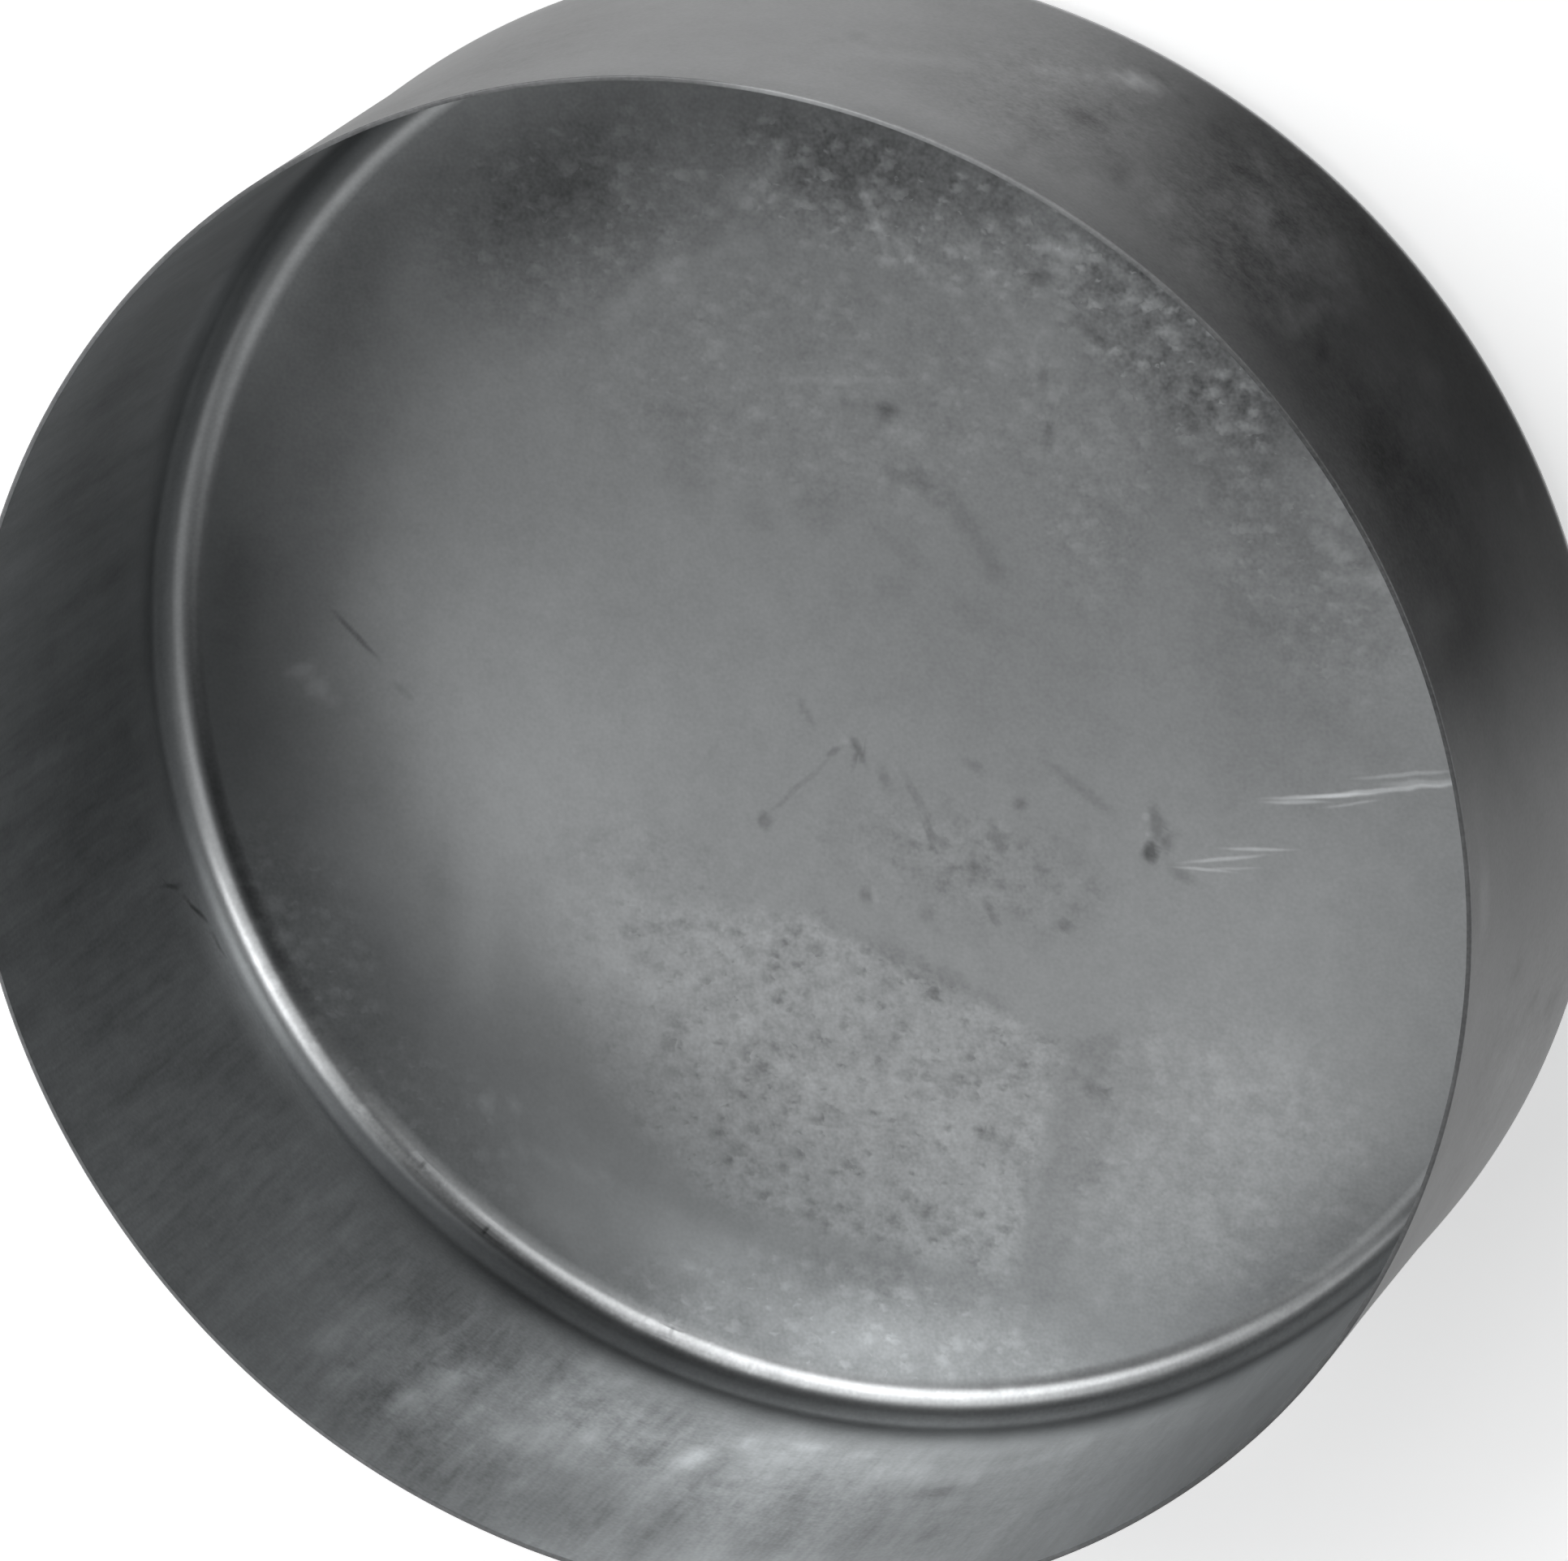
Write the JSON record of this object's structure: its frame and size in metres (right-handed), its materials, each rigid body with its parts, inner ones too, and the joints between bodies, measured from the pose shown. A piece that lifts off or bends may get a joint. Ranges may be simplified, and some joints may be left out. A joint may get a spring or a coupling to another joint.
{
  "type": "duct end cap",
  "caption": "Round cup of galvanised sheet steel with a flat closed end, a rounded bend and a straight wall, which slips over the open end of a ventilation duct and closes it.",
  "frame": {"origin": "centre of the closed end's outer face, which the cap stands on", "axes": "+Z along the duct's axis, from the closed end out of the open mouth; X and Y are any two directions across it"},
  "size_m": [0.2014, 0.2014, 0.065],
  "materials": {
    "galvanised_sheet_steel": "satin zinc coating, mottled, with handling scratches and small dark specks"
  },
  "bodies": {
    "root": {"end_cap": "galvanised_sheet_steel"}
  },
  "joints": []
}
